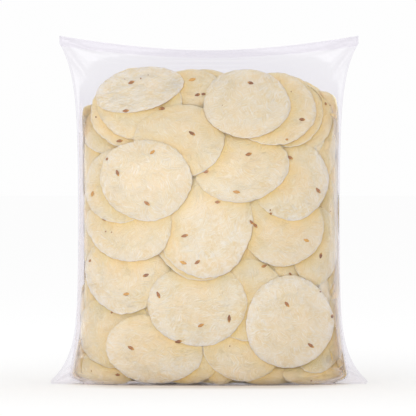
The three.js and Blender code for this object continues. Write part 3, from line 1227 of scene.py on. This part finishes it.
        # Painted shade over the room left behind the papad once its rim has sunk.
        painted_room_shade = (1.0 - face.sunk(number, x, z)) * face.room_behind(number, x, z) / face.deepest_hollow
        # Painted shade next to the rims of papads in front.
        painted_rim_shadow = face.painted_rim_shadow_before(number, x, z)
        depth = outer + layer * self.thickness
        margin = self.edge_margin + self.draw.uniform(*self.margin_spread)
        points = face.put(x, z, depth, margin)
        turn = self.draw.uniform(0, 2 * math.pi)
        offset = self.draw.uniform(0, self.pattern_spread, 2)
        across, along = u * self.radius * PATTERN_SCALE, v * self.radius * PATTERN_SCALE
        sideways = across * math.cos(turn) - along * math.sin(turn)
        upwards = across * math.sin(turn) + along * math.cos(turn)
        plane = np.stack([sideways, upwards], axis=1) + offset
        tone = self.draw.uniform(0, 1)
        inwards = Template.turned_inwards(points, template)
        # The rim's paler edge and painted highlight, weaker on the upper side, turned a little at random.
        off = self.draw.uniform(-self.rim_highlight_turn, self.rim_highlight_turn)
        pale_rim_and_highlight = radius - self.rim_highlight_top_drop * (1 + np.sin(angle + off))
        joined.add(points, template, inwards, plane, tone=tone, pale_rim_and_highlight=pale_rim_and_highlight, painted_room_shade=painted_room_shade, painted_rim_shadow=painted_rim_shadow)

    def build(self) -> list[bpy.types.Object]:
        """Makes the papads that show and the papads within.

        Returns:
            The three pieces.
        """
        fine_rings, rings = (*np.linspace(0, 0.93, 13), 0.965), (0, 0.3, 0.55, 0.76, 0.9, 0.965)
        front = JoinedMesh("papads_front"), Template.papad(138, fine_rings, (0.95, 0.6, 0))
        around = JoinedMesh("papads_around"), Template.papad(72, rings, (0.95, 0.6, 0))
        within = JoinedMesh("papads_within"), Template.papad(30, (0, 0.45, 0.8), (0.9, 0))
        for face, shown in zip(self.faces, self.shown):
            for number in range(len(face.sheets)):
                if number >= shown:
                    kind = within
                elif face is self.front and number < len(FRONT_PLACES):
                    kind = front
                else:
                    kind = around
                self.add_papad(*kind, face, number)
        LOG.info("papads: %s", [len(face.sheets) for face in self.faces])
        return [joined.build() for joined, _ in (front, around, within)]


@dataclass(frozen=True)
class SeedPlace:
    """A seed that shows at the front: its place in millimetres, its tilt and how much of it shows."""

    x: float
    z: float
    tilt: float = 0.0
    size: float = 1.0
    tone: float = 0.35

    @property
    def turned(self) -> bool:
        """Whether its golden end points the other way."""
        return round(self.x) % 2 == 0


# Whole seeds, then the ends of seeds that barely show: place, tilt, size and tone.
FRONT_SEEDS = tuple(SeedPlace(*row) for row in (
    (-58, 226, 20), (-62, 204.5, 5), (-35, 206, 0, 0.9), (-8.5, 216.5, 15, 0.9, 0.1),
    (-4, 217, 0, 0.75, 0.1), (-12.5, 187.5, -30, 1.15, 0.0), (-66.5, 182, 5), (-42, 173.5, 35, 0.9, 0.85),
    (-76, 168.5, 50, 0.6), (-68, 158, -70, 1.05, 0.3), (-2, 159, 15, 0.9, 0.5), (31, 225.5, -15, 0.95, 0.1),
    (69.5, 198, -5, 0.95, 0.2), (29.5, 172, 15, 1.0, 0.5), (60.5, 169.5, -30, 0.95, 0.4),
    (20.5, 144, -8, 1.1, 0.8), (81.5, 145, -50, 1.0, 0.45), (87.5, 210, -70, 0.6), (58, 183, 0, 0.6, 0.8),
    (-87, 142.5, 75, 0.9, 0.8), (-46, 135.5, -35, 1.05, 0.6), (-77.5, 123.5, 0, 0.9, 0.7),
    (-18, 111.5, 15, 1.1, 0.4), (-19, 91.5, -20, 1.05, 1.0), (-8.5, 92, 35, 1.0, 0.35),
    (-47, 82, 20, 1.0, 0.2), (-61.5, 68, 10, 0.95, 0.85), (-37.5, 67.5, -65, 1.1, 0.45),
    (-89, 92.5, 60, 0.6, 0.5), (6.5, 136.5, 5, 0.9, 0.55), (31.5, 121.5, -50, 0.8, 0.4),
    (34.5, 119, -50, 0.9, 0.4), (72.5, 108, -20, 0.9, 1.0), (83.5, 96.5, 80, 0.9, 0.1),
    (41, 89, 20, 0.9, 0.6), (60.5, 83, -30, 0.6, 0.4), (58, 60.5, -50, 1.0, 0.5), (15, 50, 88, 1.2, 0.15),
    (-6, 45, 25, 1.0, 0.75), (92, 51, 85, 0.7, 0.1), (-72.5, 54, 5, 0.5), (-58, 28, -30, 1.1, 0.5),
    (-22.5, 33, 10, 1.0, 0.15), (-68, 7.5, 0, 0.8, 0.3), (76, 29.5, -35, 1.15, 0.3),
    (44.5, 9.5, 0, 0.5, 0.6), (-12.5, 228, 12, 1.1, 1.0), (-51, 229, 0, 0.35), (-45.5, 231.5, 0, 0.25),
    (-63, 228.5, 0, 0.25), (-75, 171, 50, 0.3), (-84.5, 200, 0, 0.4), (91, 209, 0, 0.35),
    (61.5, 219, 0, 0.3), (-77, 114.5, 0, 0.35), (-72.5, 114, 0, 0.3), (45.5, 130.5, 0, 0.35),
    (46, 128, -20, 0.5), (91, 129.5, 0, 0.3), (83, 69.5, 0, 0.35), (15.5, 29.5, 0, 0.3), (-88, 10, 0, 0.3),
    (76.5, 3, 0, 0.4), (20.5, 206, 0, 0.2), (10, 208.5, 0, 0.25), (-51, 22, 0, 0.2),
))


@dataclass
class CuminSeeds:
    """The cumin seeds, half sunk in the papads."""

    heap: PapadHeap
    half_length: float = 2.9
    half_width: float = 1.5
    proud: float = 0.65
    least_size: float = 0.45
    each: int = 3
    seed: int = 29

    def add(self, joined: JoinedMesh, face: HeapFace, number: int, place: SeedPlace) -> None:
        """Lays one seed in the surface of a papad.

        Args:
            joined: The mesh that it joins.
            face: The face of the heap.
            number: The papad's number on that face.
            place: Where it lies.
        """
        size = self.half_length * max(place.size, self.least_size)
        width = self.half_width * min(1.0, 0.35 + 0.7 * place.size)
        along, across, out = self.template.points.T * np.array([[size], [width], [width]])
        angle = math.radians(place.tilt)
        x = place.x + along * math.cos(angle) - across * math.sin(angle)
        z = place.z + along * math.sin(angle) + across * math.cos(angle)
        sunk = width * (1.0 - self.proud) + 0.35 * self.half_width * (1.0 - min(place.size, 1.0))
        depth = face.settled(number, x, z) + sunk - out
        points = face.put(x, np.maximum(z, 0.5), depth, self.heap.edge_margin)
        plane = np.stack([along + place.x, across + place.z], axis=1) * PATTERN_SCALE
        inwards = Template.turned_inwards(points, self.template)
        end = self.template.points[:, 0] * (1 if place.turned else -1)
        joined.add(points, self.template, inwards, plane, tone=place.tone, end=end)

    def build(self) -> bpy.types.Object:
        """Makes all the seeds.

        Returns:
            The piece.
        """
        self.template = Template.seed()
        joined = JoinedMesh("cumin_seeds")
        draw = np.random.default_rng(self.seed)
        for place in FRONT_SEEDS:
            number = self.heap.front.nearest_at(place.x, place.z)
            if number >= 0:
                self.add(joined, self.heap.front, number, place)
        for face, shown in zip(self.heap.faces[1:], self.heap.shown[1:]):
            for number, sheet in enumerate(face.sheets[:shown]):
                for _ in range(draw.integers(2, self.each + 2)):
                    angle, reach = draw.uniform(0, 2 * math.pi), draw.uniform(0.1, 0.9)
                    x, z = sheet.place.spread(reach * math.cos(angle), reach * math.sin(angle))
                    size, tone = draw.uniform(0.8, 1.15), draw.uniform(0, 1)
                    place = SeedPlace(x, z, draw.uniform(-90, 90), size, tone)
                    if face.nearest_at(x, z) == number:
                        self.add(joined, face, number, place)
        return joined.build()


@dataclass(frozen=True)
class Crease:
    """A soft ridge in the film, from one place on a face of the bag to another."""

    start: tuple[float, float]
    end: tuple[float, float]
    height: float = 0.8
    width: float = 1.5
    spread: float = 1.0
    lead: float = 1.0

    def rise(self, x: Array, z: Array) -> Array:
        """How far the ridge lifts the film.

        Args:
            x: Places across the bag.
            z: Heights.

        Returns:
            The lift in millimetres.
        """
        run_x, run_z = self.end[0] - self.start[0], self.end[1] - self.start[1]
        from_x, from_z = x - self.start[0], z - self.start[1]
        share = np.clip((from_x * run_x + from_z * run_z) / (run_x**2 + run_z**2), 0.0, 1.0)
        distance = np.hypot(from_x - share * run_x, from_z - share * run_z)
        width = self.width * (1.0 + (self.spread - 1.0) * share)
        return self.height * np.sin(math.pi * share**self.lead) * np.exp(-((distance / width) ** 2))


# Ridges under the seal, from the top corners, up the sides and at the lower corners: both ends,
# height, width, spread and lead.
FRONT_CREASES = tuple(Crease(*row) for row in (
    ((-100, 252), (-14, 243.5), 0.9, 1.0), ((-60, 246), (62, 246.5), 0.8, 0.9),
    ((-52, 243), (54, 243.5), 0.9, 0.9), ((-38, 240), (46, 240), 0.8, 0.9),
    ((-26, 237), (30, 236.5), 0.6, 1.0), ((40, 243), (106, 254), 0.9, 1.0),
    ((28, 240), (92, 249.5), 0.8, 1.0), ((56, 240), (94, 246), 0.6, 1.0),
    ((-110, 257), (-100, 210), 1.0, 1.1, 2.0, 0.5), ((-110, 258), (-84, 249), 0.9, 1.0, 1.6, 0.6),
    ((-110, 256), (-92, 233), 1.2, 1.0, 2.4, 0.6), ((-108, 250), (-84, 220), 1.0, 1.2, 2.4, 0.6),
    ((110, 256), (86, 232), 1.3, 1.1, 2.4, 0.6), ((108, 248), (92, 224), 0.9, 1.0, 2.0, 0.6),
    ((110, 258), (70, 245), 1.0, 1.0, 1.8, 0.6), ((110, 255), (100, 208), 1.0, 1.1, 2.0, 0.5),
    ((-116, 1.5), (-96, 16), 1.0, 1.0, 1.6, 0.6), ((-116, 1.5), (-86, 5), 0.9, 1.0, 1.4, 0.7),
    ((-111, 8), (-99, 16), 1.2, 0.8), ((-112, 5), (-100, 10.5), 1.1, 0.8),
    ((-101, 19), (-82, 23), 0.9, 0.9), ((-100, 2.6), (-72, 2.4), 0.7, 0.8),
    ((-99, 31), (-91, 18), 0.8, 0.9), ((-96, 46), (-93, 24), 0.8, 1.0),
    ((116, 1.5), (86, 12), 1.1, 1.0, 1.8, 0.6), ((116, 1.5), (70, 3.5), 0.9, 1.0, 1.3, 0.7),
    ((97.5, 13.5), (103, 9.5), 1.3, 0.7), ((90, 13.5), (101, 9), 1.2, 0.7), ((100, 6), (90, 4), 1.0, 0.7),
    ((84, 8), (72, 5.5), 0.9, 0.8), ((108, 8), (94, 24), 0.9, 1.0), ((-106, 10), (-98, 30), 0.9, 1.0),
    ((89, 217), (94, 190), 0.9, 1.2), ((95, 207), (90, 172), 0.8, 1.2), ((92, 156), (95, 108), 0.7, 1.2),
    ((95, 96), (92, 62), 0.8, 1.2), ((93, 54), (98, 22), 0.8, 1.2), ((-94, 196), (-93, 122), 0.5, 1.4),
    ((-93, 96), (-98, 30), 0.5, 1.4),
))


@dataclass
class Film:
    """The clear bag itself: front, back and base in one skin, with a seal across the top."""

    bag: BagShape
    columns: int = 230
    rows: int = 260
    base_rows: int = 8
    bead_columns: int = 5
    bead_width: float = 1.3
    bead_height: float = 0.45
    gap: float = 0.4
    fin: float = 0.12
    floor_gap: float = 0.15
    crinkles: int = 90
    calm: float = 0.75
    crowding: float = 1.08
    edge_ease: float = 3.0
    # How far up from the floor the ridges' whitening and painted glint stay strong, and how much of it is
    # left higher up.
    whitening_glint_reach: float = 30.0
    least_whitening_glint: float = 0.25
    seed: int = 41
    seal_height: float = 5.2
    seal_half: float = 0.28
    seal_rows: int = 24
    seal_lines: float = 3.0
    seal_relief: float = 0.08
    seal_bead: float = 0.4

    def creases(self, side: Side, draw: np.random.Generator) -> list[Crease]:
        """Chooses the ridges of one face.

        Args:
            side: The face.
            draw: The seeded stream of numbers.

        Returns:
            The listed ridges, mirrored on the back, and small drawn ones.
        """
        mirror = -side.value
        ridges = [
            replace(one, start=(mirror * one.start[0], one.start[1]), end=(mirror * one.end[0], one.end[1]))
            for one in FRONT_CREASES
        ]
        for _ in range(self.crinkles):
            x = self.bag.body_half_width * (1 - draw.exponential(0.22)) * draw.choice((-1, 1))
            z = draw.uniform(4, self.bag.height - 12)
            tilt, half = draw.normal(math.pi / 2, 0.5), draw.uniform(4, 11)
            run_x, run_z = half * math.cos(tilt), half * math.sin(tilt)
            ends = (x - run_x, z - run_z), (x + run_x, z + run_z)
            ridges.append(Crease(*ends, draw.uniform(0.15, 0.4), 1.3))
        return ridges

    def grid(self, shape: bmesh.types.BMesh, rows: int) -> tuple[list[bmesh.types.BMVert], Array, Array]:
        """Adds a flat grid as wide as the bag.

        Args:
            shape: The mesh that it is added to.
            rows: Its rows.

        Returns:
            Its corners, their places from -1 to 1 across and from 0 to 1 up.
        """
        made = bmesh.ops.create_grid(shape, x_segments=self.columns, y_segments=rows, size=1.0)["verts"]
        s, t = (np.array([corner.co[axis] for corner in made]) for axis in (0, 1))
        return made, s, t / 2 + 0.5

    def face(self, shape: bmesh.types.BMesh, side: Side, draw: np.random.Generator) -> None:
        """Adds the front or the back, with its half of the base.

        Args:
            shape: The mesh that it is added to.
            side: The face.
            draw: The seeded stream of numbers.
        """
        rows = self.rows + self.base_rows
        ridges = shape.verts.layers.float.get("ridge") or shape.verts.layers.float.new("ridge")
        made, s, t = self.grid(shape, rows)
        up = (t * rows - self.base_rows) / self.rows
        inwards = np.clip(-up * self.rows / self.base_rows, 0.0, 1.0)
        level = self.bag.height * np.clip(up, 0.0, 1.0) ** self.crowding
        u, bead = self.edged(s)
        x, z = self.bag.lifted(u, level)
        depth = self.bag.depth(x, z)
        out = depth + self.gap * np.minimum(depth / self.edge_ease, 1.0)
        from_edge = self.bag.edge_half_width(z) - np.abs(x)
        free = np.clip(from_edge / self.edge_ease, 0.0, 1.0) * (1 - inwards)
        lift = sum(ridge.rise(x, z) for ridge in self.creases(side, draw)) * free * self.calm
        out = np.maximum(out + lift, self.fin) + bead * self.bead_height
        border = (np.abs(s) > 1 - 1e-6) | (t > 1 - 1e-6)
        out = np.where(border, 0.0, out) * (1 - inwards)
        z = z + self.floor_gap
        # Whitening and painted glint along the ridges, strongest near the floor.
        ridge = self.least_whitening_glint + (1 - self.least_whitening_glint) * np.exp(-z / self.whitening_glint_reach)
        ridge = ridge * np.minimum(lift, 1.0)
        for corner, *place, height in zip(made, x, side.value * out, z, ridge):
            corner.co = Vector(place) * MM
            corner[ridges] = height

    def edged(self, s: Array) -> tuple[Array, Array]:
        """Spreads columns over the width, with the last few crowded into a bead at each side edge.

        Args:
            s: Even shares of the width, from -1 to 1.

        Returns:
            Uneven shares, and the height of the bead there from 0 to 1.
        """
        start = 1 - 2 * self.bead_columns / self.columns
        inner = 1 - self.bead_width / self.bag.body_half_width
        past = np.clip((np.abs(s) - start) / (1 - start), 0.0, 1.0)
        even = np.minimum(np.abs(s) / start, 1.0)
        share = inner * (0.7 * even + 0.3 * np.sin(even * math.pi / 2))
        along = 0.5 - 0.5 * np.cos(math.pi * past)
        share = share + (1 - inner) * along
        return np.sign(s) * share, np.sin(math.pi * past)

    def skin(self) -> bpy.types.Object:
        """Makes the skin.

        Returns:
            The piece.
        """
        draw = np.random.default_rng(self.seed)
        shape = bmesh.new()
        for side in Side:
            self.face(shape, side, draw)
        bmesh.ops.remove_doubles(shape, verts=shape.verts, dist=0.005 * MM)
        return finished("bag_film", shape)

    def seal(self) -> bpy.types.Object:
        """Makes the flat seal across the top.

        Returns:
            The piece.
        """
        shape = bmesh.new()
        made, s, t = self.grid(shape, self.seal_rows)
        level = self.bag.height - self.seal_height * (1 - t)
        x, z = self.bag.lifted(s, level)
        wave = self.seal_relief * np.cos(2 * math.pi * self.seal_lines * t)
        wave = wave - self.seal_bead * np.exp(-(((1 - t) / 0.12) ** 2))
        for corner, *place in zip(made, x * 1.0008, -self.seal_half + wave, z + self.floor_gap + 0.1):
            corner.co = Vector(place) * MM
        thickness = 2 * self.seal_half * MM
        bmesh.ops.solidify(shape, geom=shape.faces[:], thickness=thickness)
        return finished("top_seal", shape)

    def build(self) -> list[bpy.types.Object]:
        """Makes the skin and the seal."""
        return [self.skin(), self.seal()]


def finished(name: str, shape: bmesh.types.BMesh) -> bpy.types.Object:
    """Turns a closed bmesh into an object with its faces outwards.

    Args:
        name: The object's name.
        shape: The shape, which is freed.

    Returns:
        The object.
    """
    bmesh.ops.recalc_face_normals(shape, faces=shape.faces)
    for edge in shape.edges:
        edge.smooth = edge.calc_face_angle(0.0) < FOLD_ANGLE
    mesh = bpy.data.meshes.new(name)
    shape.to_mesh(mesh)
    shape.free()
    mesh.shade_smooth()
    return placed(name, mesh)


@dataclass(frozen=True)
class Lamp:
    """A soft rectangular light: how far round, up and away it stands, its size and its power.

    The first two are degrees, round from the camera's side with right as positive and up from the
    floor. The rest are metres and watts.
    """

    name: str
    around: float
    up: float
    away: float
    size: tuple[float, float]
    power: float


@dataclass
class Studio:
    """The camera, the floor and the lights."""

    distance: float = 3.2
    elevation: float = 0.3
    view_width: float = 0.312
    aim: Vector = field(default_factory=lambda: Vector((-0.0007, 0.0, 0.1319)))
    brightness: float = 0.99
    floor_size: float = 60.0
    # A contact shadow painted on the floor round the bag's base: the half sizes of the box it surrounds, its
    # dark warm middle and its lighter edge, then the even pale floor.
    painted_shadow_half_box: tuple[float, ...] = (0.04, 0.03, 0.0)
    floor_painted_shadow: Colour = (0.73, 0.68, 0.62, 1.0)
    floor_painted_shadow_edge: Colour = (0.92, 0.917, 0.914, 1.0)
    floor_far: Colour = (0.985, 0.985, 0.985, 1.0)
    lamps: tuple[Lamp, ...] = (
        Lamp("key", -18, 7, 3.5, (3.2, 1.0), 44.0),
        Lamp("left_strip", -104, 12, 1.4, (0.05, 0.7), 0.8),
        Lamp("right_strip", 100, 12, 1.4, (0.05, 0.7), 0.7),
    )

    def camera(self) -> None:
        """Makes the camera, near the floor and far off with a long lens."""
        data = bpy.data.cameras.new("camera")
        data.sensor_width = 36.0
        data.lens = data.sensor_width * self.distance / self.view_width
        eye = bpy.data.objects.new("camera", data)
        angle = math.radians(self.elevation)
        eye.location = self.aim + self.distance * Vector((0, -math.cos(angle), math.sin(angle)))
        eye.rotation_euler = (math.pi / 2 - angle, 0, 0)
        bpy.context.scene.collection.objects.link(eye)
        bpy.context.scene.camera = eye

    def floor(self) -> None:
        """Makes the pale floor, with a contact shadow painted round the bag's base."""
        shape = bmesh.new()
        bmesh.ops.create_grid(shape, x_segments=8, y_segments=8, size=self.floor_size)
        mesh = bpy.data.meshes.new("floor")
        shape.to_mesh(mesh)
        shape.free()
        floor = placed("floor", mesh)
        nodes = Nodes("pale_floor_painted_shadow")
        place = nodes.add("TexCoord").outputs["Object"]
        apart = nodes.vector("ABSOLUTE", place).outputs[0]
        apart = nodes.vector("SUBTRACT", apart, self.painted_shadow_half_box).outputs[0]
        apart = nodes.vector("MAXIMUM", apart, (0, 0, 0)).outputs[0]
        away = nodes.math("SQRT", nodes.vector("LENGTH", apart).outputs["Value"])
        cloud = nodes.math("MULTIPLY", nodes.noise(place, 1.5, 2.0).outputs[0], 0.01)
        # Painted contact shadow, darkest close to the bag's base and fading out into the even pale floor.
        shade = nodes.mix(nodes.range(away, 0.15, 0.27), self.floor_painted_shadow, self.floor_painted_shadow_edge)
        share = nodes.math("ADD", nodes.range(away, 0.28, 1.0), cloud, clamp=True)
        shade = nodes.mix(share, shade, self.floor_far)
        mesh.materials.append(nodes.finish(nodes.add("BsdfDiffuse", None, Color=shade).outputs[0]))
        floor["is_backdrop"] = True

    def lights(self) -> None:
        """Makes the soft studio light: white all round, a broad lamp and two strips."""
        world = bpy.data.worlds.new("studio")
        world.use_nodes = True
        background = world.node_tree.nodes["Background"]
        background.inputs["Color"].default_value = (1, 1, 1, 1)
        background.inputs["Strength"].default_value = self.brightness
        bpy.context.scene.world = world
        for lamp in self.lamps:
            self.light(lamp)

    def light(self, lamp: Lamp) -> None:
        """Makes one soft light that faces the bag.

        Args:
            lamp: What it is like and where it stands.
        """
        data = bpy.data.lights.new(lamp.name, "AREA")
        data.shape = "RECTANGLE"
        data.size, data.size_y = lamp.size
        data.energy = lamp.power
        light = bpy.data.objects.new(lamp.name, data)
        turn, rise = math.radians(lamp.around), math.radians(lamp.up)
        flat = math.cos(rise)
        direction = Vector((math.sin(turn) * flat, -math.cos(turn) * flat, math.sin(rise)))
        light.location = self.aim + lamp.away * direction
        light.rotation_euler = direction.to_track_quat("Z", "Y").to_euler()
        bpy.context.scene.collection.objects.link(light)

    def build(self) -> None:
        """Makes all of the studio."""
        self.camera()
        self.floor()
        self.lights()
        scene = bpy.context.scene
        scene.view_settings.view_transform = "Standard"
        scene.cycles.transparent_max_bounces = 24
        scene.cycles.max_bounces = 12
        scene.cycles.diffuse_bounces = 8


def dress(piece: bpy.types.Object, material: bpy.types.Material) -> None:
    """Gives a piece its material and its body.

    Args:
        piece: The piece.
        material: Its material.
    """
    piece.data.materials.clear()
    piece.data.materials.append(material)
    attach(piece, BODY)
    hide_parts(NODE)
    piece.data.calc_loop_triangles()
    LOG.info("%s: %d triangles", piece.name, len(piece.data.loop_triangles))


def corners(box: tuple[Vector, Vector]) -> list[list[float]]:
    """Turns a box into plain lists."""
    return [[float(value) for value in corner] for corner in box]


def main() -> None:
    """Builds the bag piece by piece."""
    logging.basicConfig(level=logging.INFO, format="%(name)s: %(message)s")
    solid_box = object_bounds()
    bag = BagShape()
    Studio().build()
    heap = PapadHeap(bag)
    dough = PapadFinish().build()
    for piece in heap.build():
        dress(piece, dough)
    dress(CuminSeeds(heap).build(), SeedFinish().build())
    skin, seal = Film(bag).build()
    dress(skin, FilmFinish().build())
    sealed = FilmFinish("sealed_film", haze=0.03, through=(0.965, 0.958, 0.972, 1.0))
    dress(seal, sealed.build())
    {"cad": corners(solid_box), "visual": corners(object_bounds())}


if __name__ == "__main__":
    main()
